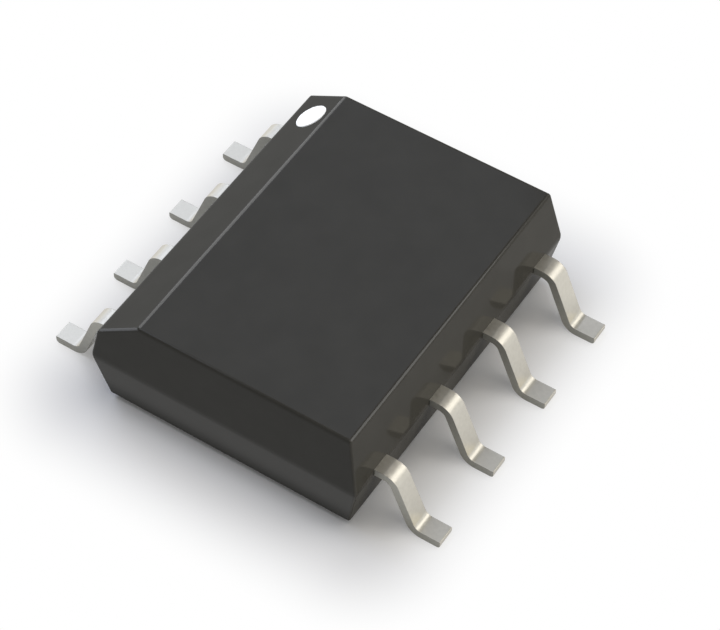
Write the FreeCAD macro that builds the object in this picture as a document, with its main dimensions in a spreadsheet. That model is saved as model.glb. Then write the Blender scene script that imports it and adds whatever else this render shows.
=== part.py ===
import FreeCAD, Part
import math
import os
import Sketcher

# An eight-lead small-outline package: a moulded body with a bevel along the pin 1 side,
# gull-wing leads on both long sides and, inside the body, the die paddle, the die and
# its bond wires. The origin is on the seating plane, under the middle of the body.
# +X points to the side of leads 5 to 8, +Y to the end of leads 1 and 8, and +Z is up.

SIZES = [
    ("body_width", 4.0, "across the mould's parting line, along X"),
    ("body_length", 4.96, "across the mould's parting line, along Y"),
    ("standoff", 0.10, "from the seating plane to the body's underside"),
    ("body_top", 1.75, "from the seating plane to the top face"),
    ("parting_height", 0.88, "height of the parting line"),
    ("side_inset_top", 0.155, "draft of a long side, from the parting line to the top"),
    ("end_inset_top", 0.125, "draft of an end, from the parting line to the top"),
    ("side_inset_bottom", 0.16, "draft of a long side, down to the underside"),
    ("end_inset_bottom", 0.1, "draft of an end, down to the underside"),
    ("corner_radius", 0.035, "upright corners of the body"),
    ("edge_radius", 0.03, "edges of the top and the bevel"),
    ("underside_radius", 0.02, "edges of the underside"),
    ("bevel_setback", 0.545, "from the undrafted top edge to the bevel's upper edge"),
    ("bevel_angle", 32.7, "slope of the bevel, from level"),
    ("mark_diameter", 0.46, "printed disc at lead 1"),
    ("mark_thickness", 0.015, "ink of the printed disc"),
    ("mark_down_slope", 0.32, "from the bevel's upper edge to the disc's centre"),
    ("mark_from_end", 0.57, "from the body's end to the disc's centre"),
    ("pitch", 1.27, "between neighbouring leads"),
    ("lead_span", 5.92, "from foot tip to foot tip"),
    ("lead_width", 0.285, "width of a lead outside the body"),
    ("strip_thickness", 0.12, "the lead frame's strip, with its tin"),
    ("shoulder_height", 0.94, "top of the lead where it leaves the body"),
    ("leg_angle", 68.5, "slope of the lead's leg, from level"),
    ("bend_radius", 0.12, "inside radius of both bends of a lead"),
    ("foot_flat", 0.275, "level top of the foot, from the tip to the bend"),
    ("tip_radius", 0.05, "rounded lower edge of the foot's tip"),
    ("finger_width", 0.48, "lead inside the body"),
    ("finger_setback", 0.22, "from the body's side to the wide part of a finger"),
    ("mid_reach", 1.36, "from the centre line to the tip of a middle finger"),
    ("corner_reach", 0.55, "from the centre line to the tip of a corner finger"),
    ("anchor_hole", 0.2, "hole that the compound fills in a corner finger"),
    ("anchor_inset", 0.2, "from the wide part's outer end to the hole's centre"),
    ("paddle_width", 2.3, "die paddle, along X"),
    ("paddle_end_gap", 0.13, "from the paddle to the corner fingers, along Y"),
    ("paddle_downset", 0.2, "paddle below the level of the fingers"),
    ("tie_bar_width", 0.3, "bars that held the paddle in its frame"),
    ("tie_bar_cover", 0.06, "compound over the cut end of a tie bar"),
    ("attach_thickness", 0.025, "adhesive under the die"),
    ("attach_margin", 0.05, "adhesive round the die"),
    ("die_width", 1.6, "silicon die, along X"),
    ("die_length", 2.0, "silicon die, along Y"),
    ("die_thickness", 0.28, "silicon die"),
    ("wire_diameter", 0.025, "gold bond wire"),
    ("ball_diameter", 0.075, "flattened ball at the die's end of a wire"),
    ("ball_height", 0.02, "flattened ball at the die's end of a wire"),
    ("loop_rise", 0.09, "straight rise of a wire over its ball"),
    ("loop_radius", 0.08, "bend at the top of a wire's loop"),
    ("landing_radius", 0.12, "bend where a wire comes down to its finger"),
    ("stitch_length", 0.09, "flattened end of a wire"),
    ("stitch_width", 0.075, "flattened end of a wire"),
    ("stitch_thickness", 0.012, "flattened end of a wire"),
    ("pad_inset", 0.1, "from the die's edge to the middle of a bond pad"),
    ("mid_pad_offset", 0.42, "from the die's middle to a middle lead's pad"),
    ("corner_pad_offset", 0.45, "from the die's middle to a corner lead's pad"),
    ("stitch_inset", 0.1, "from a finger's tip to the end of the wire"),
]

LEADS_PER_SIDE = 4

# Levels and places that follow from the sizes, as expressions
FINGER_TOP = "Sizes.shoulder_height"
FINGER_BOTTOM = "(Sizes.shoulder_height - Sizes.strip_thickness)"
PADDLE_TOP = "(Sizes.shoulder_height - Sizes.paddle_downset)"
PADDLE_BOTTOM = f"({PADDLE_TOP} - Sizes.strip_thickness)"
ATTACH_TOP = f"({PADDLE_TOP} + Sizes.attach_thickness)"
DIE_TOP = f"({ATTACH_TOP} + Sizes.die_thickness)"
CORNER_LEAD_Y = "(1.5 * Sizes.pitch)"
MID_LEAD_Y = "(0.5 * Sizes.pitch)"
PADDLE_HALF_LENGTH = f"({CORNER_LEAD_Y} - Sizes.finger_width / 2 - Sizes.paddle_end_gap)"
BEVEL_EDGE_X = "(Sizes.bevel_setback + Sizes.side_inset_top - Sizes.body_width / 2)"
FINGER_OUTER_END = "(Sizes.body_width / 2 - Sizes.finger_setback)"
WIRE_DROP = f"({DIE_TOP} - {FINGER_TOP})"
WIRE_END_HEIGHT = f"(Sizes.stitch_thickness / 2 + Sizes.wire_diameter / 2 - {WIRE_DROP})"
TIE_BAR_END = "(Sizes.body_length / 2 - Sizes.tie_bar_cover)"

START, END, CENTRE = range(1, 4)
ORIGIN = (-1, START)
LEVEL_AXIS = -1
UPRIGHT_AXIS = -2


def make_sheet(document):
    sheet = document.addObject("Spreadsheet::Sheet", "Sizes")
    for row, (name, size, meaning) in enumerate(SIZES, start=1):
        sheet.set(f"A{row}", name)
        sheet.set(f"B{row}", str(size))
        sheet.set(f"C{row}", meaning)
        sheet.setAlias(f"B{row}", name)
    document.recompute()
    return sheet


doc = FreeCAD.newDocument("small_outline_package")
sizes = make_sheet(doc)


def value(expression):
    """The number that an expression over the sheet gives now."""
    result = sizes.evalExpression(expression)
    return float(getattr(result, "Value", result))


def make_body(label):
    body = doc.addObject("PartDesign::Body", label)
    body.Label = label
    return body


def make_sketch(body, name, role, lift=None):
    """A sketch on one of the body's origin planes, raised by an expression."""
    sketch = body.newObject("Sketcher::SketchObject", name)
    support = next(item for item in body.Origin.OriginFeatures if item.Role == role)
    sketch.AttachmentSupport = [(support, "")]
    sketch.MapMode = "FlatFace"
    if lift:
        sketch.setExpression("AttachmentOffset.Base.z", lift)
    return sketch


def dimension(sketch, kind, references, expression):
    """A dimension of the sketch that follows an expression."""
    size = value(expression)
    if kind == "Angle":
        size = math.radians(size)
    index = sketch.addConstraint(Sketcher.Constraint(kind, *references, size))
    sketch.setExpression(f"Constraints[{index}]", expression)


def link(sketch, kind, *references):
    sketch.addConstraint(Sketcher.Constraint(kind, *references))


def add_line(sketch, start, end):
    points = [FreeCAD.Vector(x, y, 0) for x, y in (start, end)]
    return sketch.addGeometry(Part.LineSegment(*points), False)


def add_arc(sketch, centre, radius, first, last):
    """An arc that runs counter-clockwise between two angles in degrees."""
    circle = Part.Circle(FreeCAD.Vector(*centre, 0), FreeCAD.Vector(0, 0, 1), radius)
    arc = Part.ArcOfCircle(circle, math.radians(first), math.radians(last))
    return sketch.addGeometry(arc, False)


def add_circle(sketch, radius, x_place="0"):
    """A circle on the sketch's level axis, sized and placed by expressions."""
    centre = FreeCAD.Vector(value(x_place), 0, 0)
    circle = Part.Circle(centre, FreeCAD.Vector(0, 0, 1), value(radius))
    index = sketch.addGeometry(circle, False)
    dimension(sketch, "Radius", (index,), radius)
    if x_place == "0":
        link(sketch, "Coincident", index, CENTRE, *ORIGIN)
    else:
        link(sketch, "PointOnObject", index, CENTRE, LEVEL_AXIS)
        dimension(sketch, "DistanceX", (*ORIGIN, index, CENTRE), x_place)


def add_octagon(sketch, radius):
    """A regular octagon about the origin, flat side down, with its corners on a circle."""
    size = value(radius)
    circle = Part.Circle(FreeCAD.Vector(0, 0, 0), FreeCAD.Vector(0, 0, 1), size)
    guide = sketch.addGeometry(circle, True)
    turns = [math.radians(45 * i - 112.5) for i in range(8)]
    corners = [(size * math.cos(turn), size * math.sin(turn)) for turn in turns]
    lines = [add_line(sketch, corners[i], corners[(i + 1) % 8]) for i in range(8)]
    for i in range(8):
        link(sketch, "Coincident", lines[i], END, lines[(i + 1) % 8], START)
        link(sketch, "PointOnObject", lines[i], START, guide)
    for line in lines[1:]:
        link(sketch, "Equal", lines[0], line)
    link(sketch, "Coincident", guide, CENTRE, *ORIGIN)
    link(sketch, "Horizontal", lines[0])
    dimension(sketch, "Radius", (guide,), radius)


def add_rectangle(sketch, left, right, width):
    """A rectangle from left to right, with the level axis along its middle."""
    x0, x1, half = value(left), value(right), value(width) / 2
    corners = [(x0, -half), (x1, -half), (x1, half), (x0, half)]
    lines = [add_line(sketch, corners[i], corners[(i + 1) % 4]) for i in range(4)]
    for i in range(4):
        link(sketch, "Coincident", lines[i], END, lines[(i + 1) % 4], START)
    for i in (0, 2):
        link(sketch, "Horizontal", lines[i])
    link(sketch, "Vertical", lines[1])
    link(sketch, "Symmetric", lines[3], START, lines[3], END, LEVEL_AXIS)
    dimension(sketch, "DistanceX", (*ORIGIN, lines[0], START), left)
    dimension(sketch, "DistanceX", (*ORIGIN, lines[1], START), right)
    dimension(sketch, "DistanceY", (lines[1], START, lines[1], END), width)


def add_rounded_rectangle(sketch, width, length, radius):
    """A rectangle with rounded corners, centred on the origin."""
    half_x, half_y, r = value(width) / 2, value(length) / 2, value(radius)
    near_x, near_y = half_x - r, half_y - r
    ends = [
        ((-near_x, -half_y), (near_x, -half_y)),
        ((half_x, -near_y), (half_x, near_y)),
        ((near_x, half_y), (-near_x, half_y)),
        ((-half_x, near_y), (-half_x, -near_y)),
    ]
    middles = [(near_x, -near_y), (near_x, near_y), (-near_x, near_y), (-near_x, -near_y)]
    lines = [add_line(sketch, *pair) for pair in ends]
    arcs = [add_arc(sketch, middles[i], r, 90 * (i - 1), 90 * i) for i in range(4)]
    for i in range(4):
        link(sketch, "Tangent", lines[i], END, arcs[i], START)
        link(sketch, "Tangent", arcs[i], END, lines[(i + 1) % 4], START)
    for i in (0, 2):
        link(sketch, "Horizontal", lines[i])
    for i in (1, 3):
        link(sketch, "Vertical", lines[i])
    for arc in arcs[1:]:
        link(sketch, "Equal", arcs[0], arc)
    link(sketch, "Symmetric", arcs[0], CENTRE, arcs[2], CENTRE, *ORIGIN)
    dimension(sketch, "Radius", (arcs[0],), radius)
    dimension(sketch, "DistanceX", (lines[3], START, lines[1], START), width)
    dimension(sketch, "DistanceY", (lines[0], START, lines[2], START), length)


def pad(body, name, sketch, length, midplane=False):
    feature = body.newObject("PartDesign::Pad", name)
    feature.Profile = sketch
    feature.setExpression("Length", length)
    feature.Midplane = midplane
    return feature


def pocket_through(body, name, sketch, midplane=False):
    feature = body.newObject("PartDesign::Pocket", name)
    feature.Profile = sketch
    feature.Type = "ThroughAll"
    feature.Midplane = midplane
    feature.Reversed = not midplane
    return feature


def check_cut(feature, base):
    """Stops if a cutting feature took nothing away."""
    doc.recompute()
    if feature.Shape.Volume > base.Shape.Volume - 1e-9:
        raise RuntimeError(f"{feature.Label} cuts nothing")


def edges_on_plane(shape, point, normal, tolerance=1e-4):
    """Names of the edges that lie in a plane."""
    names = []
    for number, edge in enumerate(shape.Edges, start=1):
        if edge.Degenerated:
            continue
        places = edge.discretize(5)
        if all(abs((place - point).dot(normal)) < tolerance for place in places):
            names.append(f"Edge{number}")
    return names


def make_mould_shell():
    """The body's outside: drafted both ways from the parting line, with its bevel."""
    body = make_body("mould_shell")
    levels = [
        ("Underside", "Sizes.standoff", "Sizes.side_inset_bottom", "Sizes.end_inset_bottom"),
        ("PartingLine", "Sizes.parting_height", "0", "0"),
        ("TopFace", "Sizes.body_top", "Sizes.side_inset_top", "Sizes.end_inset_top"),
    ]
    sections = []
    for name, height, side_inset, end_inset in levels:
        section = make_sketch(body, name, "XY_Plane", height)
        width = f"Sizes.body_width - 2 * {side_inset}"
        length = f"Sizes.body_length - 2 * {end_inset}"
        add_rounded_rectangle(section, width, length, "Sizes.corner_radius")
        sections.append(section)
    block = body.newObject("PartDesign::AdditiveLoft", "DraftedBlock")
    block.Profile = sections[0]
    block.Sections = sections[1:]
    block.Ruled = True

    slope = make_sketch(body, "BevelSection", "XZ_Plane")
    edge_x, top = value(BEVEL_EDGE_X), value("Sizes.body_top")
    outside_x = -value("Sizes.body_width")
    above = 2 * top
    grade = math.tan(math.radians(value("Sizes.bevel_angle")))
    high = (edge_x + (above - top) / grade, above)
    low = (outside_x, top - (edge_x - outside_x) * grade)
    corner = (outside_x, above)
    cut_line = add_line(slope, low, high)
    level = add_line(slope, high, corner)
    upright = add_line(slope, corner, low)
    link(slope, "Coincident", cut_line, END, level, START)
    link(slope, "Coincident", level, END, upright, START)
    link(slope, "Coincident", upright, END, cut_line, START)
    link(slope, "Horizontal", level)
    link(slope, "Vertical", upright)
    dimension(slope, "DistanceX", (cut_line, START, *ORIGIN), "Sizes.body_width")
    dimension(slope, "DistanceY", (*ORIGIN, level, START), "2 * Sizes.body_top")
    dimension(slope, "Angle", (cut_line,), "Sizes.bevel_angle")
    edge_point = slope.addGeometry(Part.Point(FreeCAD.Vector(edge_x, top, 0)), True)
    link(slope, "PointOnObject", edge_point, START, cut_line)
    dimension(slope, "DistanceX", (edge_point, START, *ORIGIN), f"-{BEVEL_EDGE_X}")
    dimension(slope, "DistanceY", (*ORIGIN, edge_point, START), "Sizes.body_top")
    bevel = pocket_through(body, "Bevel", slope, midplane=True)
    check_cut(bevel, block)

    tilt = math.radians(value("Sizes.bevel_angle"))
    planes = [
        ((0, 0, top), (0, 0, 1)),
        ((edge_x, 0, top), (-math.sin(tilt), 0, math.cos(tilt))),
    ]
    names = set()
    for point, normal in planes:
        names.update(edges_on_plane(bevel.Shape, FreeCAD.Vector(*point), FreeCAD.Vector(*normal)))
    upper = body.newObject("PartDesign::Fillet", "UpperRounding")
    upper.Base = (bevel, sorted(names))
    upper.setExpression("Radius", "Sizes.edge_radius")
    doc.recompute()
    sole = FreeCAD.Vector(0, 0, value("Sizes.standoff"))
    lower = body.newObject("PartDesign::Fillet", "UndersideRounding")
    lower.Base = (upper, edges_on_plane(upper.Shape, sole, FreeCAD.Vector(0, 0, 1)))
    lower.setExpression("Radius", "Sizes.underside_radius")
    return body


def add_gull_wing(sketch, inner_end):
    """The side view of a lead: shoulder, bend, leg, bend and foot, of one thickness."""
    thick, r_in = value("Sizes.strip_thickness"), value("Sizes.bend_radius")
    r_out, angle = r_in + thick, value("Sizes.leg_angle")
    tip_x, tip_r = value("Sizes.lead_span / 2"), value("Sizes.tip_radius")
    z_top, x_in = value("Sizes.shoulder_height"), value(inner_end)
    turn = math.radians(angle)
    across = (math.sin(turn), math.cos(turn))
    low = (tip_x - value("Sizes.foot_flat"), thick + r_in)
    high_z = z_top - r_out
    rise = high_z - low[1] + (r_in + r_out) * across[1]
    high = (low[0] - (r_in + r_out) * across[0] - rise / math.tan(turn), high_z)

    def at(centre, radius):
        return (centre[0] + radius * across[0], centre[1] + radius * across[1])

    leg_out = (at(high, r_out), at(low, -r_in))
    leg_in = (at(low, -r_out), at(high, r_in))
    shoulder_top = add_line(sketch, (x_in, z_top), (high[0], z_top))
    upper_out = add_arc(sketch, high, r_out, 90 - angle, 90)
    leg_outer = add_line(sketch, *leg_out)
    lower_in = add_arc(sketch, low, r_in, 270 - angle, 270)
    foot_top = add_line(sketch, (low[0], thick), (tip_x, thick))
    tip = add_line(sketch, (tip_x, thick), (tip_x, tip_r))
    tip_arc = add_arc(sketch, (tip_x - tip_r, tip_r), tip_r, -90, 0)
    sole = add_line(sketch, (tip_x - tip_r, 0), (low[0], 0))
    heel = add_arc(sketch, low, r_out, 270 - angle, 270)
    leg_inner = add_line(sketch, *leg_in)
    upper_in = add_arc(sketch, high, r_in, 90 - angle, 90)
    shoulder_under = add_line(sketch, (high[0], z_top - thick), (x_in, z_top - thick))
    inner = add_line(sketch, (x_in, z_top - thick), (x_in, z_top))

    link(sketch, "Tangent", shoulder_top, END, upper_out, END)
    link(sketch, "Tangent", upper_out, START, leg_outer, START)
    link(sketch, "Tangent", leg_outer, END, lower_in, START)
    link(sketch, "Tangent", lower_in, END, foot_top, START)
    link(sketch, "Coincident", foot_top, END, tip, START)
    link(sketch, "Tangent", tip, END, tip_arc, END)
    link(sketch, "Tangent", tip_arc, START, sole, START)
    link(sketch, "Tangent", sole, END, heel, END)
    link(sketch, "Tangent", heel, START, leg_inner, START)
    link(sketch, "Tangent", leg_inner, END, upper_in, START)
    link(sketch, "Tangent", upper_in, END, shoulder_under, START)
    link(sketch, "Coincident", shoulder_under, END, inner, START)
    link(sketch, "Coincident", inner, END, shoulder_top, START)
    link(sketch, "Coincident", upper_out, CENTRE, upper_in, CENTRE)
    link(sketch, "Coincident", lower_in, CENTRE, heel, CENTRE)
    for line in (shoulder_top, foot_top, sole, shoulder_under):
        link(sketch, "Horizontal", line)
    for line in (tip, inner):
        link(sketch, "Vertical", line)
    for arc in (upper_in, lower_in):
        dimension(sketch, "Radius", (arc,), "Sizes.bend_radius")
    for arc in (upper_out, heel):
        dimension(sketch, "Radius", (arc,), "Sizes.bend_radius + Sizes.strip_thickness")
    dimension(sketch, "Radius", (tip_arc,), "Sizes.tip_radius")
    dimension(sketch, "DistanceY", (*ORIGIN, shoulder_top, START), "Sizes.shoulder_height")
    dimension(sketch, "DistanceX", (*ORIGIN, shoulder_top, START), inner_end)
    dimension(sketch, "DistanceX", (*ORIGIN, foot_top, END), "Sizes.lead_span / 2")
    dimension(sketch, "DistanceX", (foot_top, START, foot_top, END), "Sizes.foot_flat")
    dimension(sketch, "Angle", (leg_outer,), "-Sizes.leg_angle")
    link(sketch, "PointOnObject", sole, START, LEVEL_AXIS)


def lead_place(number):
    """The side of a lead, 1 or -1 along X, and its place along Y in pitches."""
    if number <= LEADS_PER_SIDE:
        return -1, (LEADS_PER_SIDE + 1) / 2 - number
    return 1, number - (3 * LEADS_PER_SIDE + 1) / 2


def is_corner(number):
    return number in (1, LEADS_PER_SIDE, LEADS_PER_SIDE + 1, 2 * LEADS_PER_SIDE)


def make_lead(number):
    """A lead with its finger inside the body, drawn outward along its own +X."""
    reach = "Sizes.corner_reach" if is_corner(number) else "Sizes.mid_reach"
    body = make_body(f"lead_{number}")
    side_view = make_sketch(body, "SideView", "XZ_Plane")
    add_gull_wing(side_view, reach)
    pad(body, "FormedStrip", side_view, "Sizes.lead_width", midplane=True)
    finger_view = make_sketch(body, "FingerView", "XY_Plane", FINGER_BOTTOM)
    add_rectangle(finger_view, reach, FINGER_OUTER_END, "Sizes.finger_width")
    finger = pad(body, "Finger", finger_view, "Sizes.strip_thickness")
    if is_corner(number):
        hole_view = make_sketch(body, "AnchorView", "XY_Plane", FINGER_BOTTOM)
        hole_x = f"{FINGER_OUTER_END} - Sizes.anchor_inset"
        add_circle(hole_view, "Sizes.anchor_hole / 2", hole_x)
        check_cut(pocket_through(body, "AnchorHole", hole_view), finger)
    side, pitches = lead_place(number)
    turn = FreeCAD.Rotation(FreeCAD.Vector(0, 0, 1), 0 if side > 0 else 180)
    body.Placement = FreeCAD.Placement(FreeCAD.Vector(0, 0, 0), turn)
    body.setExpression("Placement.Base.y", f"{pitches} * Sizes.pitch")
    return body


def make_paddle():
    """The die paddle, set below the fingers, with the tie bars that rise from its ends."""
    body = make_body("die_paddle")
    plate_view = make_sketch(body, "PlateView", "XY_Plane", PADDLE_BOTTOM)
    add_rectangle(
        plate_view,
        "-Sizes.paddle_width / 2",
        "Sizes.paddle_width / 2",
        f"2 * {PADDLE_HALF_LENGTH}",
    )
    pad(body, "Plate", plate_view, "Sizes.strip_thickness")

    bar_view = make_sketch(body, "TieBarView", "YZ_Plane")
    knee, thick = value(PADDLE_HALF_LENGTH), value("Sizes.strip_thickness")
    low, high = value(PADDLE_BOTTOM), value(FINGER_BOTTOM)
    raised, end = knee + high - low, value(TIE_BAR_END)
    points = [
        (0, low),
        (knee, low),
        (raised, high),
        (end, high),
        (end, high + thick),
        (raised, high + thick),
        (knee, low + thick),
        (0, low + thick),
    ]
    count = len(points)
    lines = [add_line(bar_view, points[i], points[(i + 1) % count]) for i in range(count)]
    for i in range(count):
        link(bar_view, "Coincident", lines[i], END, lines[(i + 1) % count], START)
    for i in (0, 2, 4, 6):
        link(bar_view, "Horizontal", lines[i])
    for i in (3, 7):
        link(bar_view, "Vertical", lines[i])
    for i, j in ((1, 6), (2, 5)):
        link(bar_view, "Vertical", lines[i], START, lines[j], START)
    link(bar_view, "PointOnObject", lines[0], START, UPRIGHT_AXIS)
    dimension(bar_view, "DistanceY", (*ORIGIN, lines[0], START), PADDLE_BOTTOM)
    dimension(bar_view, "DistanceX", (*ORIGIN, lines[0], END), PADDLE_HALF_LENGTH)
    dimension(bar_view, "DistanceX", (lines[1], START, lines[1], END), "Sizes.paddle_downset")
    dimension(bar_view, "DistanceY", (*ORIGIN, lines[2], START), FINGER_BOTTOM)
    dimension(bar_view, "DistanceX", (*ORIGIN, lines[3], START), TIE_BAR_END)
    for i in (3, 7):
        ends = (START, END) if i == 3 else (END, START)
        dimension(
            bar_view,
            "DistanceY",
            (lines[i], ends[0], lines[i], ends[1]),
            "Sizes.strip_thickness",
        )
    bar = pad(body, "TieBar", bar_view, "Sizes.tie_bar_width", midplane=True)
    doc.recompute()
    other_bar = body.newObject("PartDesign::Mirrored", "OtherTieBar")
    other_bar.Originals = [bar]
    mirror = next(item for item in body.Origin.OriginFeatures if item.Role == "XZ_Plane")
    other_bar.MirrorPlane = (mirror, [""])
    body.Tip = other_bar
    return body


def make_block(label, width, length, height, bottom):
    """A box centred over the origin, with its underside at a level."""
    box = doc.addObject("Part::Box", label)
    box.Label = label
    box.setExpression("Length", width)
    box.setExpression("Width", length)
    box.setExpression("Height", height)
    box.setExpression("Placement.Base.x", f"-({width}) / 2")
    box.setExpression("Placement.Base.y", f"-({length}) / 2")
    box.setExpression("Placement.Base.z", bottom)
    return box


def wire_ends(number):
    """Where a wire starts on the die and ends on its finger, along X and Y."""
    side, pitches = lead_place(number)
    end = 1 if pitches > 0 else -1
    if is_corner(number):
        pad_x = "Sizes.corner_pad_offset"
        pad_y = "(Sizes.die_length / 2 - Sizes.pad_inset)"
        finger_x = "(Sizes.corner_reach + Sizes.stitch_inset)"
        finger_y = CORNER_LEAD_Y
    else:
        pad_x = "(Sizes.die_width / 2 - Sizes.pad_inset)"
        pad_y = "Sizes.mid_pad_offset"
        finger_x = "(Sizes.mid_reach + Sizes.stitch_inset)"
        finger_y = MID_LEAD_Y
    start = (f"({side} * {pad_x})", f"({end} * {pad_y})")
    return start, (f"({side} * {finger_x})", f"({end} * {finger_y})")


def add_wire_path(sketch, span):
    """A wire's route: up from its ball, over, down to the finger and level onto it."""
    r_top, r_low = value("Sizes.loop_radius"), value("Sizes.landing_radius")
    z_start, rise = value("Sizes.ball_height / 2"), value("Sizes.loop_rise")
    z_high = z_start + rise
    end_x, end_z = value(span), value(WIRE_END_HEIGHT)
    landing_x = end_x - value("Sizes.stitch_length") / 2
    run_x, fall_z = landing_x - r_top, z_high - end_z - r_low
    slope = math.atan2(fall_z, run_x) + math.asin((r_top + r_low) / math.hypot(run_x, fall_z))
    across = (math.sin(slope), math.cos(slope))
    top_end = (r_top + r_top * across[0], z_high + r_top * across[1])
    low_start = (landing_x - r_low * across[0], end_z + r_low - r_low * across[1])
    degrees = math.degrees(slope)

    up = add_line(sketch, (0, z_start), (0, z_high))
    over = add_arc(sketch, (r_top, z_high), r_top, 90 - degrees, 180)
    down = add_line(sketch, top_end, low_start)
    landing = add_arc(sketch, (landing_x, end_z + r_low), r_low, 270 - degrees, 270)
    level = add_line(sketch, (landing_x, end_z), (end_x, end_z))
    link(sketch, "PointOnObject", up, START, UPRIGHT_AXIS)
    link(sketch, "Vertical", up)
    link(sketch, "Tangent", up, END, over, END)
    link(sketch, "Tangent", over, START, down, START)
    link(sketch, "Tangent", down, END, landing, START)
    link(sketch, "Tangent", landing, END, level, START)
    link(sketch, "Horizontal", level)
    dimension(sketch, "DistanceY", (*ORIGIN, up, START), "Sizes.ball_height / 2")
    dimension(sketch, "DistanceY", (up, START, up, END), "Sizes.loop_rise")
    dimension(sketch, "Radius", (over,), "Sizes.loop_radius")
    dimension(sketch, "Radius", (landing,), "Sizes.landing_radius")
    dimension(sketch, "DistanceX", (level, START, level, END), "Sizes.stitch_length / 2")
    dimension(sketch, "DistanceX", (*ORIGIN, level, END), span)
    dimension(sketch, "DistanceY", (*ORIGIN, level, END), WIRE_END_HEIGHT)


def make_wire(number):
    """A bond wire with its ball on the die and its flattened stitch on the finger."""
    (x0, y0), (x1, y1) = wire_ends(number)
    span = f"sqrt(({x1} - {x0}) ^ 2 + ({y1} - {y0}) ^ 2)"
    body = make_body(f"bond_wire_{number}")
    ball_view = make_sketch(body, "BallView", "XY_Plane")
    add_circle(ball_view, "Sizes.ball_diameter / 2")
    pad(body, "Ball", ball_view, "Sizes.ball_height")
    section = make_sketch(body, "WireSection", "XY_Plane", "Sizes.ball_height / 2")
    add_octagon(section, "Sizes.wire_diameter / 2")
    route = make_sketch(body, "WireRoute", "XZ_Plane")
    add_wire_path(route, span)
    doc.recompute()
    wire = body.newObject("PartDesign::AdditivePipe", "Wire")
    wire.Profile = section
    wire.Spine = route
    stitch_view = make_sketch(body, "StitchView", "XY_Plane", f"-{WIRE_DROP}")
    stitch_start = f"{span} - Sizes.stitch_length / 2"
    stitch_end = f"{span} + Sizes.stitch_length / 2"
    add_rectangle(stitch_view, stitch_start, stitch_end, "Sizes.stitch_width")
    pad(body, "Stitch", stitch_view, "Sizes.stitch_thickness")
    turn = FreeCAD.Rotation(FreeCAD.Vector(0, 0, 1), value(f"atan2({y1} - {y0}; {x1} - {x0})"))
    body.Placement = FreeCAD.Placement(FreeCAD.Vector(0, 0, 0), turn)
    body.setExpression("Placement.Rotation.Angle", f"atan2({y1} - {y0}; {x1} - {x0})")
    body.setExpression("Placement.Base.x", x0)
    body.setExpression("Placement.Base.y", y0)
    body.setExpression("Placement.Base.z", DIE_TOP)
    return body


def make_mark():
    """The printed disc that shows lead 1, on the bevel near the body's far end."""
    disc = doc.addObject("Part::Cylinder", "pin_1_mark")
    disc.Label = "pin_1_mark"
    disc.setExpression("Radius", "Sizes.mark_diameter / 2")
    disc.setExpression("Height", "Sizes.mark_thickness")
    turn = FreeCAD.Rotation(FreeCAD.Vector(0, -1, 0), value("Sizes.bevel_angle"))
    disc.Placement = FreeCAD.Placement(FreeCAD.Vector(0, 0, 0), turn)
    disc.setExpression("Placement.Rotation.Angle", "Sizes.bevel_angle")
    down_x = "Sizes.mark_down_slope * cos(Sizes.bevel_angle)"
    down_z = "Sizes.mark_down_slope * sin(Sizes.bevel_angle)"
    disc.setExpression("Placement.Base.x", f"{BEVEL_EDGE_X} - {down_x}")
    disc.setExpression("Placement.Base.y", "Sizes.body_length / 2 - Sizes.mark_from_end")
    disc.setExpression("Placement.Base.z", f"Sizes.body_top - {down_z}")
    return disc


def make_mould(shell, embedded):
    """The compound: the outer shell less everything that it was moulded round."""
    filled = doc.addObject("Part::MultiFuse", "embedded_pieces")
    filled.Shapes = embedded
    mould = doc.addObject("Part::Cut", "mould_body")
    mould.Label = "mould_body"
    mould.Base = shell
    mould.Tool = filled
    return mould


def check_document():
    for item in doc.Objects:
        bad = [state for state in item.State if state in ("Invalid", "Error")]
        if bad:
            raise RuntimeError(f"{item.Label}: {bad}")


def write_nodes(nodes):
    for node in nodes:
        if node.Shape.isNull() or not node.Shape.isValid():
            raise RuntimeError(f"{node.Label} has no valid shape")
    os.makedirs("parts", exist_ok=True)
    for node in nodes:
        node.Shape.exportStep(f"parts/{node.Label}.step")


lead_numbers = range(1, 2 * LEADS_PER_SIDE + 1)
leads = [make_lead(number) for number in lead_numbers]
paddle = make_paddle()
attach = make_block(
    "die_attach",
    "Sizes.die_width + 2 * Sizes.attach_margin",
    "Sizes.die_length + 2 * Sizes.attach_margin",
    "Sizes.attach_thickness",
    PADDLE_TOP,
)
die = make_block("die", "Sizes.die_width", "Sizes.die_length", "Sizes.die_thickness", ATTACH_TOP)
wires = [make_wire(number) for number in lead_numbers]
mark = make_mark()
doc.recompute()
mould = make_mould(make_mould_shell(), leads + [paddle, attach, die] + wires)
doc.recompute()
check_document()
write_nodes([mould, paddle, attach, die, mark] + leads + wires)
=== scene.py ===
import math

import bmesh
import bpy
from mathutils import Matrix, Vector


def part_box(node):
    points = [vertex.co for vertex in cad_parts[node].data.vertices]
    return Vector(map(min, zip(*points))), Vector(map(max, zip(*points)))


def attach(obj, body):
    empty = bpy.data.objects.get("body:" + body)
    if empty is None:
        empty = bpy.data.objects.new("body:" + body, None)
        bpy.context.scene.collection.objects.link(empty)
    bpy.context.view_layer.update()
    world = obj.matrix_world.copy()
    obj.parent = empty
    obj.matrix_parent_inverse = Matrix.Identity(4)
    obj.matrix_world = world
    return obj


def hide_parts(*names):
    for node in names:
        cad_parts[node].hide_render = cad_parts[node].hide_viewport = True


# An eight-lead small-outline package: a moulded body with a bevel along the side of
# leads 1 to 4, formed and tinned leads, and a printed dot beside lead 1.
# Shapes are worked out in millimetres, in the frame of the solids, and a finished
# mesh is brought to metres.

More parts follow.
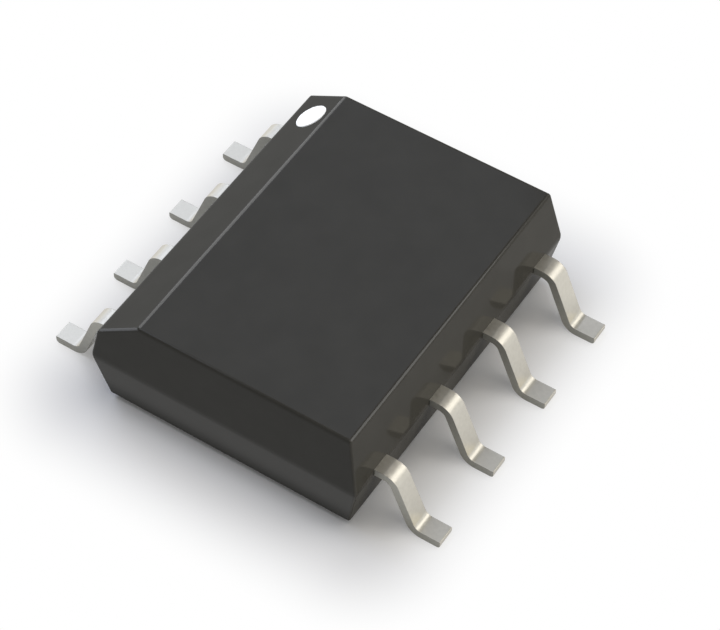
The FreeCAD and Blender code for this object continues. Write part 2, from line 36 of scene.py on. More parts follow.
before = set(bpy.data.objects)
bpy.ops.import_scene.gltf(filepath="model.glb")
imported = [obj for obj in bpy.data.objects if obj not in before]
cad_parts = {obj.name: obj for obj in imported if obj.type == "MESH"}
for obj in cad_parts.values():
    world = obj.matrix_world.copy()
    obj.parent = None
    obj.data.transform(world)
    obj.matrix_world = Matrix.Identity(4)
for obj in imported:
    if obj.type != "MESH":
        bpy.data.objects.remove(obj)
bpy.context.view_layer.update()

MM = 0.001


def box_mm(node_name):
    """The lowest and highest corner of a solid, in millimetres."""
    low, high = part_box(node_name)
    return low / MM, high / MM


# Sizes of the mould. A draft is how far a side or an end has leant in by the top or the bottom,
# and the bevel's setback is how far its crest lies in from where the side's top edge would be.
BODY_LOW, BODY_HIGH = box_mm("mould_body")
PARTING_HEIGHT = 0.88
SIDE_DRAFT = {"top": 0.155, "bottom": 0.16}
END_DRAFT = {"top": 0.125, "bottom": 0.1}
BEVEL_SETBACK = 0.545
BEVEL_ANGLE = math.radians(32.7)
BEVEL_NORMAL = Vector((-math.sin(BEVEL_ANGLE), 0, math.cos(BEVEL_ANGLE)))
UP_THE_BEVEL = Vector((math.cos(BEVEL_ANGLE), 0, math.sin(BEVEL_ANGLE)))
UPRIGHT_ROUND = 0.035
EDGE_ROUND = 0.05
BEVEL_EDGE_ROUND = 0.12
UNDERSIDE_ROUND = 0.02
PARTING_LAND = 0.05
ROUND_STEPS = 6
SAME_PLACE = 1e-5

# Sizes of the lead frame's strip. A finger narrows to its lead over the length of a width change.
STRIP = 0.12
LEAD_WIDTH = 0.285
LEAD_TIP = box_mm("lead_5")[1].x
SHOULDER = box_mm("lead_5")[1].z
BEND_ANGLE = math.radians(68.5)
BEND_INSIDE = 0.12
FOOT_FLAT = 0.275
TIP_ROUND = 0.05
TIP_BREAK = 0.008
SHEAR_ROUND = 0.004
FINGER_WIDTH = 0.48
FINGER_OUTER_END = BODY_HIGH.x - 0.22
WIDTH_CHANGE = 0.001
LEADS = range(1, 9)
LEADS_PER_SIDE = 4
CORNER_LEADS = (1, 4, 5, 8)
ANCHOR_PLACE = FINGER_OUTER_END - 0.2
ANCHOR_RADIUS = 0.1
BEND_STEPS = 14
LEG_STEPS = 4
SOLE_STEPS = 2
TIP_STEPS = 6
CORNER_STEPS = 2
ANCHOR_STEPS = 48

# Sizes of the printed dot. Its rim draws in as it rises: share of the thickness, and how far in.
DOT_RADIUS = 0.224
DOT_THICKNESS = 0.015
DOT_RIM = ((0, 0), (0.35, 0.003), (0.7, 0.009), (1.0, 0.02))
DOT_STEPS = 96

# Faces that meet at a wider angle keep a hard line between them
SHARP_ANGLE = math.radians(40)


def linear(hex_colour):
    """An sRGB hex value as the linear colour that a shader takes."""
    levels = [int(hex_colour[i : i + 2], 16) / 255 for i in (1, 3, 5)]
    return tuple(v / 12.92 if v <= 0.04045 else ((v + 0.055) / 1.055) ** 2.4 for v in levels) + (1.0,)


# Materials

# A noise pattern seldom leaves these levels, so its colours and gloss are spread between them
NOISE_LOW, NOISE_HIGH = 0.3, 0.7


def node(tree, kind, links=None, **settings):
    """A node with its settings, and with its sockets given a value or a link."""
    made = tree.nodes.new(kind)
    for name, setting in settings.items():
        setattr(made, name, setting)
    for socket, source in (links or {}).items():
        if isinstance(source, bpy.types.NodeSocket):
            tree.links.new(source, made.inputs[socket])
        else:
            made.inputs[socket].default_value = source
    return made


def new_material(name):
    """A material with an empty node tree, and that tree."""
    material = bpy.data.materials.new(name)
    material.use_nodes = True
    material.node_tree.nodes.clear()
    return material, material.node_tree


def moulded_epoxy_compound():
    """Silica-filled epoxy, transfer moulded: dull, faintly clouded charcoal under a thin glossy skin."""
    material, tree = new_material("moulded_epoxy_compound")
    place = node(tree, "ShaderNodeTexCoord").outputs["Object"]
    # Resin and filler flow in clouds of about 0.4 mm
    cloud = node(tree, "ShaderNodeTexNoise", {"Vector": place, "Scale": 1 / (0.4 * MM), "Detail": 3.0})
    shade = node(tree, "ShaderNodeValToRGB", {"Fac": cloud.outputs["Fac"]})
    shade.color_ramp.elements[0].position = NOISE_LOW
    shade.color_ramp.elements[0].color = linear("#2e2d29")
    shade.color_ramp.elements[1].position = NOISE_HIGH
    shade.color_ramp.elements[1].color = linear("#31302c")
    # Filler grains are about 0.03 mm, drawn at 0.06 mm so that they show
    grain = node(tree, "ShaderNodeTexNoise", {"Vector": place, "Scale": 1 / (0.06 * MM), "Detail": 2.0})
    gloss = node(
        tree,
        "ShaderNodeMapRange",
        {
            "Value": grain.outputs["Fac"],
            "From Min": NOISE_LOW,
            "From Max": NOISE_HIGH,
            "To Min": 0.5,
            "To Max": 0.6,
        },
    )
    relief = node(
        tree,
        "ShaderNodeBump",
        {"Height": grain.outputs["Fac"], "Strength": 0.02, "Distance": 0.002 * MM},
    )
    # The polished cavity leaves a clear, resin-rich skin, which mirrors edges and leads faintly.
    # The filler below it scatters light and mirrors nothing.
    surface = node(
        tree,
        "ShaderNodeBsdfPrincipled",
        {
            "Base Color": shade.outputs["Color"],
            "Roughness": gloss.outputs["Result"],
            "Normal": relief.outputs["Normal"],
            "IOR": 1.5,
            "Specular IOR Level": 0.0,
            "Coat Weight": 0.29,
            "Coat Roughness": 0.07,
            "Coat IOR": 1.5,
        },
    )
    node(tree, "ShaderNodeOutputMaterial", {"Surface": surface.outputs[0]})
    return material


def tin_plated_strip():
    """Matt electroplated tin on rolled strip: warm silver, softly blurred reflections, fine mottle."""
    material, tree = new_material("tin_plated_strip")
    place = node(tree, "ShaderNodeTexCoord").outputs["Object"]
    # The plating's grain groups are about 0.05 mm across
    mottle = node(tree, "ShaderNodeTexNoise", {"Vector": place, "Scale": 1 / (0.05 * MM), "Detail": 3.0})
    shade = node(tree, "ShaderNodeValToRGB", {"Fac": mottle.outputs["Fac"]})
    shade.color_ramp.elements[0].position = NOISE_LOW
    shade.color_ramp.elements[0].color = linear("#cdc9bd")
    shade.color_ramp.elements[1].position = NOISE_HIGH
    shade.color_ramp.elements[1].color = linear("#d5d1c6")
    gloss = node(
        tree,
        "ShaderNodeMapRange",
        {
            "Value": mottle.outputs["Fac"],
            "From Min": NOISE_LOW,
            "From Max": NOISE_HIGH,
            "To Min": 0.33,
            "To Max": 0.4,
        },
    )
    relief = node(
        tree,
        "ShaderNodeBump",
        {"Height": mottle.outputs["Fac"], "Strength": 0.05, "Distance": 0.004 * MM},
    )
    surface = node(
        tree,
        "ShaderNodeBsdfPrincipled",
        {
            "Base Color": shade.outputs["Color"],
            "Metallic": 1.0,
            "Roughness": gloss.outputs["Result"],
            "Normal": relief.outputs["Normal"],
        },
    )
    node(tree, "ShaderNodeOutputMaterial", {"Surface": surface.outputs[0]})
    return material


def sheared_edge_and_painted_shade():
    """The stamped side of the strip under thin tin: duller than the flats, and darker, partly for real and
    partly as painted shade.
    """
    material, tree = new_material("sheared_edge_and_painted_shade")
    place = node(tree, "ShaderNodeTexCoord").outputs["Object"]
    # The punch leaves tears of about 0.04 mm
    tear = node(tree, "ShaderNodeTexNoise", {"Vector": place, "Scale": 1 / (0.04 * MM), "Detail": 3.0})
    # The darker colour is partly the stamped metal's own and partly painted shade on the strip's sides and
    # rounded corners
    shade = node(tree, "ShaderNodeValToRGB", {"Fac": tear.outputs["Fac"]})
    shade.color_ramp.elements[0].position = NOISE_LOW
    shade.color_ramp.elements[0].color = linear("#a1a099")
    shade.color_ramp.elements[1].position = NOISE_HIGH
    shade.color_ramp.elements[1].color = linear("#a9a8a1")
    relief = node(
        tree,
        "ShaderNodeBump",
        {"Height": tear.outputs["Fac"], "Strength": 0.1, "Distance": 0.004 * MM},
    )
    surface = node(
        tree,
        "ShaderNodeBsdfPrincipled",
        {
            "Base Color": shade.outputs["Color"],
            "Metallic": 1.0,
            "Roughness": 0.55,
            "Normal": relief.outputs["Normal"],
        },
    )
    node(tree, "ShaderNodeOutputMaterial", {"Surface": surface.outputs[0]})
    return material


def rolled_copper_alloy():
    """Bare rolled copper alloy: salmon metal with fine streaks along the rolling direction."""
    material, tree = new_material("rolled_copper_alloy")
    place = node(tree, "ShaderNodeTexCoord").outputs["Object"]
    # Roll marks are about 0.03 mm across and 0.6 mm long
    marks = [1 / (size * MM) for size in (0.03, 0.6, 0.03)]
    along = node(tree, "ShaderNodeMapping", {"Vector": place, "Scale": marks})
    streak = node(
        tree, "ShaderNodeTexNoise", {"Vector": along.outputs["Vector"], "Scale": 1.0, "Detail": 3.0}
    )
    shade = node(tree, "ShaderNodeValToRGB", {"Fac": streak.outputs["Fac"]})
    shade.color_ramp.elements[0].position = NOISE_LOW
    shade.color_ramp.elements[0].color = linear("#c98663")
    shade.color_ramp.elements[1].position = NOISE_HIGH
    shade.color_ramp.elements[1].color = linear("#dda27f")
    surface = node(
        tree,
        "ShaderNodeBsdfPrincipled",
        {"Base Color": shade.outputs["Color"], "Metallic": 1.0, "Roughness": 0.3},
    )
    node(tree, "ShaderNodeOutputMaterial", {"Surface": surface.outputs[0]})
    return material


def silver_filled_adhesive():
    """Cured die adhesive full of silver flake: dull grey with a metallic sparkle."""
    material, tree = new_material("silver_filled_adhesive")
    place = node(tree, "ShaderNodeTexCoord").outputs["Object"]
    # Flakes are about 0.01 mm, drawn at 0.02 mm so that they show
    flake = node(tree, "ShaderNodeTexVoronoi", {"Vector": place, "Scale": 1 / (0.02 * MM)})
    shade = node(tree, "ShaderNodeValToRGB", {"Fac": flake.outputs["Distance"]})
    shade.color_ramp.elements[0].color = linear("#d0cfca")
    shade.color_ramp.elements[1].color = linear("#a3a29d")
    surface = node(
        tree,
        "ShaderNodeBsdfPrincipled",
        {"Base Color": shade.outputs["Color"], "Metallic": 0.6, "Roughness": 0.5},
    )
    node(tree, "ShaderNodeOutputMaterial", {"Surface": surface.outputs[0]})
    return material


def passivated_silicon():
    """A sawn silicon die under its clear passivation: dark blue-grey, mirror smooth."""
    material, tree = new_material("passivated_silicon")
    place = node(tree, "ShaderNodeTexCoord").outputs["Object"]
    # Circuit blocks of about 0.2 mm tint the surface
    block = node(
        tree, "ShaderNodeTexVoronoi", {"Vector": place, "Scale": 1 / (0.2 * MM)}, distance="CHEBYCHEV"
    )
    shade = node(tree, "ShaderNodeValToRGB", {"Fac": block.outputs["Color"]})
    shade.color_ramp.elements[0].color = linear("#3d4250")
    shade.color_ramp.elements[1].color = linear("#565a66")
    surface = node(
        tree,
        "ShaderNodeBsdfPrincipled",
        {"Base Color": shade.outputs["Color"], "Metallic": 0.5, "Roughness": 0.12, "Coat Weight": 1.0},
    )
    node(tree, "ShaderNodeOutputMaterial", {"Surface": surface.outputs[0]})
    return material


def drawn_gold_wire():
    """Drawn gold bond wire: bright yellow metal, faintly uneven from the drawing die."""
    material, tree = new_material("drawn_gold_wire")
    place = node(tree, "ShaderNodeTexCoord").outputs["Object"]
    # The drawing die marks the wire over about 0.01 mm
    line = node(tree, "ShaderNodeTexNoise", {"Vector": place, "Scale": 1 / (0.01 * MM), "Detail": 2.0})
    gloss = node(
        tree,
        "ShaderNodeMapRange",
        {
            "Value": line.outputs["Fac"],
            "From Min": NOISE_LOW,
            "From Max": NOISE_HIGH,
            "To Min": 0.18,
            "To Max": 0.26,
        },
    )
    surface = node(
        tree,
        "ShaderNodeBsdfPrincipled",
        {"Base Color": linear("#f5c867"), "Metallic": 1.0, "Roughness": gloss.outputs["Result"]},
    )
    node(tree, "ShaderNodeOutputMaterial", {"Surface": surface.outputs[0]})
    return material


def printed_white_ink():
    """Pad-printed white epoxy ink: opaque, flat white with a slightly uneven film."""
    material, tree = new_material("printed_white_ink")
    place = node(tree, "ShaderNodeTexCoord").outputs["Object"]
    # The film is thicker and thinner over about 0.08 mm
    film = node(tree, "ShaderNodeTexNoise", {"Vector": place, "Scale": 1 / (0.08 * MM), "Detail": 2.0})
    shade = node(tree, "ShaderNodeValToRGB", {"Fac": film.outputs["Fac"]})
    shade.color_ramp.elements[0].position = NOISE_LOW
    shade.color_ramp.elements[0].color = linear("#eaeae8")
    shade.color_ramp.elements[1].position = NOISE_HIGH
    shade.color_ramp.elements[1].color = linear("#f1f1ef")
    relief = node(
        tree,
        "ShaderNodeBump",
        {"Height": film.outputs["Fac"], "Strength": 0.1, "Distance": 0.003 * MM},
    )
    surface = node(
        tree,
        "ShaderNodeBsdfPrincipled",
        {
            "Base Color": shade.outputs["Color"],
            "Roughness": 0.55,
            "Normal": relief.outputs["Normal"],
            "Specular IOR Level": 0.3,
        },
    )
    node(tree, "ShaderNodeOutputMaterial", {"Surface": surface.outputs[0]})
    return material


# Meshes

def make_piece(name, bm, materials, stands_for, dress=None):
    """An object from a mesh in millimetres, in place of a solid, with its modifiers worked in."""
    mesh = bpy.data.meshes.new(name)
    bm.to_mesh(mesh)
    bm.free()
    for material in materials:
        mesh.materials.append(material)
    piece = bpy.data.objects.new(name, mesh)
    bpy.context.scene.collection.objects.link(piece)
    if dress:
        dress(piece)
    # Large faces settle the shading, so that flats look flat between their rounded edges
    level = piece.modifiers.new("flat_faces", "WEIGHTED_NORMAL")
    level.weight = 100
    level.keep_sharp = True
    bpy.context.view_layer.update()
    worked = bpy.data.meshes.new_from_object(piece.evaluated_get(bpy.context.evaluated_depsgraph_get()))
    piece.modifiers.clear()
    piece.data = worked
    bpy.data.meshes.remove(mesh)
    worked.name = name
    worked.transform(Matrix.Scale(MM, 4))
    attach(piece, "root")
    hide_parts(stands_for)
    return piece


def skin_rings(bm, rings):
    """Strips of faces between neighbouring closed rings of points, and a face over each end."""
    loops = [[bm.verts.new(point) for point in ring] for ring in rings]
    count = len(loops[0])
    strips = []
    for first, second in zip(loops, loops[1:]):
        strip = []
        for i in range(count):
            j = (i + 1) % count
            strip.append(bm.faces.new((first[i], first[j], second[j], second[i])))
        strips.append(strip)
    bm.faces.new(loops[0][::-1])
    bm.faces.new(loops[-1])
    return strips


def smooth_all(bm):
    """Smooth shading, with hard lines kept where faces meet at a wide angle."""
    for face in bm.faces:
        face.smooth = True
    for edge in bm.edges:
        edge.smooth = edge.calc_face_angle(0) < SHARP_ANGLE


def edge_reach(edge):
    """How far the rounding of one of the mould's edges reaches, by where the edge lies."""
    ends = [vert.co for vert in edge.verts]
    rise, run = abs(ends[1].z - ends[0].z), abs(ends[1].x - ends[0].x)
    half_turn = edge.calc_face_angle(0) / 2
    if all(abs(end.z - PARTING_HEIGHT) < SAME_PLACE for end in ends):
        return PARTING_LAND
    if rise > run + SAME_PLACE:
        radius = UPRIGHT_ROUND
    elif max(end.z for end in ends) < PARTING_HEIGHT:
        radius = UNDERSIDE_ROUND
    elif half_turn < BEVEL_ANGLE:
        # The bevel's two long edges turn less than the other upper ones
        radius = BEVEL_EDGE_ROUND
    else:
        radius = EDGE_ROUND
    return radius * math.tan(half_turn)


def mould_piece(compound):
    """The moulded body's outside: drafted from its parting line both ways, with its bevel."""
    bm = bmesh.new()
    levels = [
        (BODY_LOW.z, SIDE_DRAFT["bottom"], END_DRAFT["bottom"]),
        (PARTING_HEIGHT, 0, 0),
        (BODY_HIGH.z, SIDE_DRAFT["top"], END_DRAFT["top"]),
    ]
    rings = []
    for height, side, end in levels:
        x, y = BODY_HIGH.x - side, BODY_HIGH.y - end
        rings.append([(-x, -y, height), (x, -y, height), (x, y, height), (-x, y, height)])
    skin_rings(bm, rings)
    bevel_crest = Vector((SIDE_DRAFT["top"] + BEVEL_SETBACK - BODY_HIGH.x, 0, BODY_HIGH.z))
    everything = bm.verts[:] + bm.edges[:] + bm.faces[:]
    cut = bmesh.ops.bisect_plane(
        bm, geom=everything, plane_co=bevel_crest, plane_no=BEVEL_NORMAL, clear_outer=True
    )
    rim = [item for item in cut["geom_cut"] if isinstance(item, bmesh.types.BMEdge)]
    bmesh.ops.contextual_create(bm, geom=rim)
    bmesh.ops.recalc_face_normals(bm, faces=bm.faces)
    for face in bm.faces:
        face.smooth = True
    # A weight is the share of the modifier's width that an edge gets
    weight = bm.edges.layers.float.new("bevel_weight_edge")
    for edge in bm.edges:
        edge[weight] = edge_reach(edge) / PARTING_LAND

    def round_edges(piece):
        rounding = piece.modifiers.new("round_edges", "BEVEL")
        rounding.limit_method = "WEIGHT"
        rounding.width = PARTING_LAND
        rounding.segments = ROUND_STEPS
        rounding.use_clamp_overlap = False
        rounding.harden_normals = True

    return make_piece("body", bm, [compound], "mould_body", round_edges)


def strip_route(inner_end):
    """Stations along the middle of a formed strip, from its inner end: place and upper face's direction."""
    level = Vector((0, 1))
    across_leg = Vector((math.sin(BEND_ANGLE), math.cos(BEND_ANGLE)))
    bend_radius = BEND_INSIDE + STRIP / 2
    # Low and high are the centres of the two bends
    low = Vector((LEAD_TIP - FOOT_FLAT, STRIP + BEND_INSIDE))
    high_z = SHOULDER - STRIP - BEND_INSIDE
    rise = high_z - low.y + 2 * bend_radius * across_leg.y
    high = Vector((low.x - 2 * bend_radius * across_leg.x - rise / math.tan(BEND_ANGLE), high_z))
    stations = [(Vector((inner_end, SHOULDER - STRIP / 2)), level)]
    for x in (FINGER_OUTER_END, FINGER_OUTER_END + WIDTH_CHANGE):
        stations.append((Vector((x, SHOULDER - STRIP / 2)), level))
    for i in range(BEND_STEPS + 1):
        turn = math.pi / 2 - BEND_ANGLE * i / BEND_STEPS
        out = Vector((math.cos(turn), math.sin(turn)))
        stations.append((high + bend_radius * out, out))
    start, end = high + bend_radius * across_leg, low - bend_radius * across_leg
    for i in range(1, LEG_STEPS):
        stations.append((start.lerp(end, i / LEG_STEPS), across_leg))
    for i in range(BEND_STEPS + 1):
        turn = math.pi / 2 - BEND_ANGLE * (1 - i / BEND_STEPS)
        out = Vector((math.cos(turn), math.sin(turn)))
        stations.append((low - bend_radius * out, out))
    tip_start = LEAD_TIP - TIP_ROUND
    for i in range(1, SOLE_STEPS + 1):
        stations.append((Vector((low.x + (tip_start - low.x) * i / SOLE_STEPS, STRIP / 2)), level))
    for i in range(1, TIP_STEPS + 1):
        x = tip_start + TIP_ROUND * math.sin(math.pi / 2 * i / TIP_STEPS)
        stations.append((Vector((x, STRIP / 2)), level))
    return stations


def strip_section(half_width, top, bottom):
    """A stamped strip's section, from the lower left corner round, as places across and up."""
    r = SHEAR_ROUND
    points = []
    corners = [
        (-half_width + r, bottom + r, math.pi),
        (half_width - r, bottom + r, 1.5 * math.pi),
        (half_width - r, top - r, 0),
        (-half_width + r, top - r, 0.5 * math.pi),
    ]
    for x, y, first in corners:
        for i in range(CORNER_STEPS + 1):
            turn = first + math.pi / 2 * i / CORNER_STEPS
            points.append((x + r * math.cos(turn), y + r * math.sin(turn)))
    return points


def tip_trim(x):
    """How far the trimmed tip's rounding has eaten into the strip's upper and lower face at a place."""
    lower = max(0, x - (LEAD_TIP - TIP_ROUND))
    upper = max(0, x - (LEAD_TIP - TIP_BREAK))
    return (
        TIP_BREAK - math.sqrt(max(0, TIP_BREAK**2 - upper**2)),
        TIP_ROUND - math.sqrt(max(0, TIP_ROUND**2 - lower**2)),
    )


def anchor_punch(x, y):
    """The tool that pierces a corner finger where the compound grips it."""
    bm = bmesh.new()
    bmesh.ops.create_cone(
        bm,
        cap_ends=True,
        segments=ANCHOR_STEPS,
        radius1=ANCHOR_RADIUS,
        radius2=ANCHOR_RADIUS,
        depth=4 * STRIP,
        matrix=Matrix.Translation((x, y, SHOULDER - STRIP / 2)),
    )
    mesh = bpy.data.meshes.new("anchor_punch")
    bm.to_mesh(mesh)
    bm.free()
    punch = bpy.data.objects.new("anchor_punch", mesh)
    bpy.context.scene.collection.objects.link(punch)
    return punch


def lead_piece(number, tin, sheared_and_shaded):
    """A lead as it is made: stamped from strip, formed as a gull wing, trimmed at its tip."""
    name = f"lead_{number}"
    low, high = box_mm(name)
    side = -1 if number <= LEADS_PER_SIDE else 1
    inner_end = min(abs(low.x), abs(high.x))
    middle_y = (low.y + high.y) / 2
    rings = []
    for place, up in strip_route(inner_end):
        half = FINGER_WIDTH / 2 if place.x <= FINGER_OUTER_END else LEAD_WIDTH / 2
        trim_top, trim_bottom = tip_trim(place.x) if up.y == 1 and place.y < STRIP else (0, 0)
        ring = []
        for y, h in strip_section(half, STRIP / 2 - trim_top, trim_bottom - STRIP / 2):
            ring.append((side * (place.x + up.x * h), middle_y + side * y, place.y + up.y * h))
        rings.append(ring)
    bm = bmesh.new()
    # The flats are between the first two and the last two of a section's corners
    per_corner = CORNER_STEPS + 1
    flats = (per_corner - 1, 3 * per_corner - 1)
    # The sides and the rounded corners take the sheared edge's darker colour, which is partly painted shade
    for strip in skin_rings(bm, rings):
        for i, face in enumerate(strip):
            face.material_index = 0 if i in flats else 1
    bmesh.ops.recalc_face_normals(bm, faces=bm.faces)
    smooth_all(bm)

    punch = anchor_punch(side * ANCHOR_PLACE, middle_y) if number in CORNER_LEADS else None

    def pierce(piece):
        hole = piece.modifiers.new("anchor_hole", "BOOLEAN")
        hole.object = punch
        hole.solver = "EXACT"

    make_piece(f"{name}_formed", bm, [tin, sheared_and_shaded], name, pierce if punch else None)
    if punch:
        bpy.data.meshes.remove(punch.data)


def dot_piece(ink):
    """The printed dot: a thin film of ink with a soft rim, on the bevel."""
    low, high = box_mm("pin_1_mark")
    underside = (low + high) / 2 - BEVEL_NORMAL * DOT_THICKNESS / 2
    across = Vector((0, 1, 0))
    rings = []
    for height, inset in DOT_RIM:
        centre = underside + BEVEL_NORMAL * DOT_THICKNESS * height
        ring = []
        for i in range(DOT_STEPS):
            turn = 2 * math.pi * i / DOT_STEPS
            out = UP_THE_BEVEL * math.cos(turn) + across * math.sin(turn)
            ring.append(centre + (DOT_RADIUS - inset) * out)
        rings.append(ring)
    bm = bmesh.new()
    skin_rings(bm, rings)
    bmesh.ops.recalc_face_normals(bm, faces=bm.faces)
    smooth_all(bm)
    return make_piece("printed_dot", bm, [ink], "pin_1_mark")


def finish_solid(name, material):
    """A solid that keeps its own mesh gets its material."""
    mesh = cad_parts[name].data
    mesh.materials.clear()
    mesh.materials.append(material)


# Stage

# The sky's brightness, where the white wall's is 1
SKY_LEVEL = 0.35
# The wall fades out between two heights over the horizon, given as sines
WALL_TOP = math.sin(math.radians(9)), math.sin(math.radians(22))
# The paper goes from shadowed to white over these lengths past the body's outline, in millimetres
# along x and y. The third number only keeps a division from failing.
SHADOW_REACH = Vector((1.6, 1.6, 1.0))
MIRRORED_SHADOW_REACH = Vector((2.7, 0.2, 1.0))
# Half the side of the square floor, in metres
FLOOR_HALF_SIDE = 0.5


def viewing_rays(tree):
    """Sockets that are 1 for a ray straight from the camera, and for one mirrored or let through."""
    path = node(tree, "ShaderNodeLightPath")
    mirrored = node(
        tree,
        "ShaderNodeMath",
        {0: path.outputs["Is Glossy Ray"], 1: path.outputs["Is Transmission Ray"]},
        operation="MAXIMUM",
    )
    return path.outputs["Is Camera Ray"], mirrored.outputs["Value"]


def matt_white_paper():
    """Matt white paper: lit as paper is near the body, to keep its soft shadow, and seen white beyond."""
    material, tree = new_material("matt_white_paper")
    place = node(tree, "ShaderNodeTexCoord").outputs["Object"]
    # How far a place is outside a rectangle as wide as the body and as long as its underside
    either_side = node(tree, "ShaderNodeVectorMath", {0: place}, operation="ABSOLUTE")
    outline = Vector((BODY_HIGH.x, BODY_HIGH.y - END_DRAFT["bottom"], 0)) * MM
    past_edges = node(
        tree, "ShaderNodeVectorMath", {0: either_side.outputs["Vector"], 1: outline}, operation="SUBTRACT"
    )
    outside = node(
        tree, "ShaderNodeVectorMath", {0: past_edges.outputs["Vector"], 1: (0, 0, 0)}, operation="MAXIMUM"
    )

    def white_past(reach, ray):
        """For one kind of ray, a socket that rises from 0 under the body to 1 past the shadow's reach."""
        part_way = node(
            tree, "ShaderNodeVectorMath", {0: outside.outputs["Vector"], 1: reach * MM}, operation="DIVIDE"
        )
        away = node(tree, "ShaderNodeVectorMath", {0: part_way.outputs["Vector"]}, operation="LENGTH")
        past = node(
            tree, "ShaderNodeMapRange", {"Value": away.outputs["Value"]}, interpolation_type="SMOOTHSTEP"
        )
        shown = node(tree, "ShaderNodeMath", {0: past.outputs["Result"], 1: ray}, operation="MULTIPLY")
        return shown.outputs["Value"]

    seen, mirrored = viewing_rays(tree)
    glow = node(
        tree,
        "ShaderNodeMath",
        {0: white_past(SHADOW_REACH, seen), 1: white_past(MIRRORED_SHADOW_REACH, mirrored)},
        operation="MAXIMUM",
    )
    paper = node(tree, "ShaderNodeBsdfDiffuse", {"Color": linear("#f8f8f8")})
    white = node(tree, "ShaderNodeEmission", {"Strength": 1.0})
    surface = node(
        tree,
        "ShaderNodeMixShader",
        {0: glow.outputs["Value"], 1: paper.outputs[0], 2: white.outputs[0]},
    )
    node(tree, "ShaderNodeOutputMaterial", {"Surface": surface.outputs[0]})
    return material


def white_floor(paper):
    """The sheet that the part stands on."""
    bm = bmesh.new()
    bmesh.ops.create_grid(bm, x_segments=1, y_segments=1, size=FLOOR_HALF_SIDE)
    mesh = bpy.data.meshes.new("floor")
    bm.to_mesh(mesh)
    bm.free()
    mesh.materials.append(paper)
    floor = bpy.data.objects.new("floor", mesh)
    bpy.context.scene.collection.objects.link(floor)


def studio_sky():
    """Even pale light from all round. Seen or mirrored, it has a white wall near the horizon."""
    world = bpy.data.worlds.new("studio_sky")
    world.use_nodes = True
    tree = world.node_tree
    tree.nodes.clear()
    direction = node(tree, "ShaderNodeTexCoord").outputs["Generated"]
    height = node(tree, "ShaderNodeSeparateXYZ", {"Vector": direction}).outputs["Z"]
    wall = node(
        tree,
        "ShaderNodeMapRange",
        {"Value": height, "From Min": WALL_TOP[0], "From Max": WALL_TOP[1], "To Min": 1.0, "To Max": 0.0},
        interpolation_type="SMOOTHSTEP",
    )
    seen, mirrored = viewing_rays(tree)
    either = node(tree, "ShaderNodeMath", {0: seen, 1: mirrored}, operation="MAXIMUM")
    glow = node(
        tree, "ShaderNodeMath", {0: wall.outputs["Result"], 1: either.outputs["Value"]}, operation="MULTIPLY"
    )
    level = node(
        tree, "ShaderNodeMapRange", {"Value": glow.outputs["Value"], "To Min": SKY_LEVEL, "To Max": 1.0}
    )
    light = node(
        tree, "ShaderNodeBackground", {"Color": linear("#ffffff"), "Strength": level.outputs["Result"]}
    )
    node(tree, "ShaderNodeOutputWorld", {"Surface": light.outputs[0]})
    bpy.context.scene.world = world


def softbox(name, direction, distance, width, height, radiance, colour="#ffffff", turn=0.0):
    """A rectangular lamp that faces the part from a direction, sized in metres, at a brightness per area."""
    lamp = bpy.data.lights.new(name, "AREA")
    lamp.shape = "RECTANGLE"
    lamp.size, lamp.size_y = width, height
    # A flat lamp's power is its brightness times its area times pi
    lamp.energy = radiance * math.pi * width * height
    lamp.color = linear(colour)[:3]
    towards = Vector(direction).normalized()
    placed = bpy.data.objects.new(name, lamp)
    placed.location = towards * distance
    facing = towards.to_track_quat("Z", "Y") @ Matrix.Rotation(turn, 3, "Z").to_quaternion()
    placed.rotation_euler = facing.to_euler()
    placed.visible_camera = False
    bpy.context.scene.collection.objects.link(placed)
    return placed


def light_only(lamps, pieces):
    """Makes lamps reach some pieces alone, as black cards on a table keep an edge light off the rest."""
    lit = bpy.data.collections.new("lit_by_edge_lights")
    for piece in pieces:
        lit.objects.link(piece)
    for lamp in lamps:
        lamp.light_linking.receiver_collection = lit


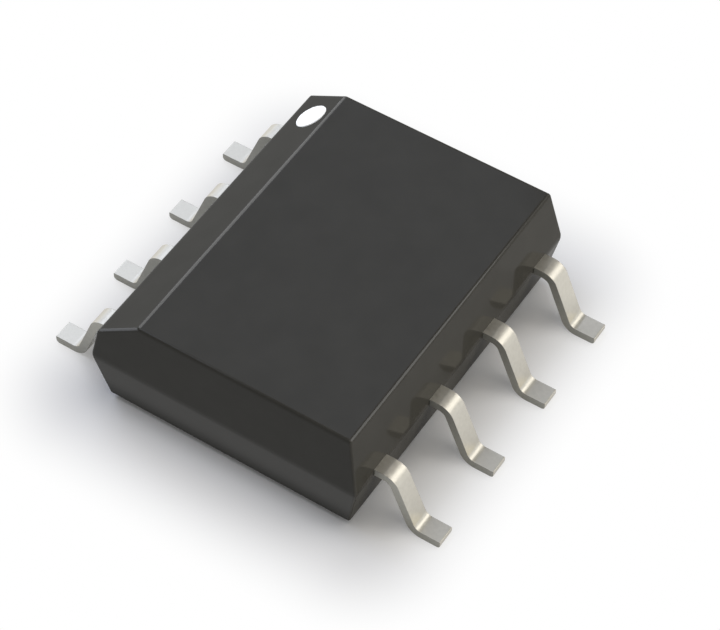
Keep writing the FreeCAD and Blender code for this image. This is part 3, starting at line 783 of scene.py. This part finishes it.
def photo_camera():
    """The photograph's viewing angle, over a frame of 720 by 630."""
    azimuth, elevation, roll = math.radians(32.898), math.radians(51.687), math.radians(0.216)
    aim, distance = Vector((0.5113, -0.0961, 0.9)) * MM, 34.3536 * MM
    back = Vector(
        (
            math.sin(azimuth) * math.cos(elevation),
            -math.cos(azimuth) * math.cos(elevation),
            math.sin(elevation),
        )
    )
    data = bpy.data.cameras.new("photo_camera")
    data.sensor_width = 36
    data.lens = 134.27
    data.clip_start, data.clip_end = 0.001, 10
    camera = bpy.data.objects.new("photo_camera", data)
    turn = (-back).to_track_quat("-Z", "Y") @ Matrix.Rotation(roll, 3, "Z").to_quaternion()
    camera.rotation_mode = "QUATERNION"
    camera.rotation_quaternion = turn
    camera.location = aim + back * distance
    bpy.context.scene.collection.objects.link(camera)
    bpy.context.scene.camera = camera


bpy.context.scene.view_settings.view_transform = "Standard"
tin, sheared_and_shaded = tin_plated_strip(), sheared_edge_and_painted_shade()
body = mould_piece(moulded_epoxy_compound())
for number in LEADS:
    lead_piece(number, tin, sheared_and_shaded)
dot = dot_piece(printed_white_ink())
finish_solid("die_paddle", rolled_copper_alloy())
finish_solid("die_attach", silver_filled_adhesive())
finish_solid("die", passivated_silicon())
gold = drawn_gold_wire()
for number in LEADS:
    finish_solid(f"bond_wire_{number}", gold)
white_floor(matt_white_paper())
studio_sky()

# Lamps: direction from the part, distance, width, height, brightness, colour and turn
softbox("overhead_softbox", (0.15, 0.0, 1.0), 0.12, 0.06, 0.06, 2.15, "#fff8ee")
softbox("left_softbox", (-0.53, -0.05, 0.85), 0.12, 0.045, 0.045, 3.3, "#dde7ff")
softbox("window_softbox", (-0.53, 0.44, 0.74), 0.12, 0.07, 0.05, 1.45, "#dfe9ff")
softbox("low_window_softbox", (-0.76, 0.5, 0.4), 0.12, 0.05, 0.075, 0.85, "#dfe9ff")
softbox("key_softbox", (0.66, 0.46, 0.6), 0.12, 0.068, 0.07, 1.85, "#fffdf9", math.radians(-12))
edge_lights = (
    softbox("bevel_edge_light", (-0.74, 0.52, 0.43), 0.118, 0.028, 0.062, 5.5),
    softbox("near_edge_light", (-0.958, -0.239, 0.156), 0.12, 0.144, 0.035, 4.2, "#eef3ff"),
    softbox("right_edge_light", (0.63, 0.5, 0.6), 0.118, 0.018, 0.118, 5.0, "#ffffff", math.radians(-25)),
)
fill_lights = (
    softbox("bevel_fill_light", (-1.0, 0.3, 0.14), 0.12, 0.06, 0.03, 12.0, "#eef3ff"),
    softbox("side_fill_light", (1.0, 0.1, 0.25), 0.12, 0.06, 0.04, 13.0, "#fff8ee"),
)
# A fill stands for light from all over a low wall, so no surface mirrors it as a bright window
for fill in fill_lights:
    fill.visible_glossy = False
light_only(edge_lights + fill_lights, (body, dot))
photo_camera()
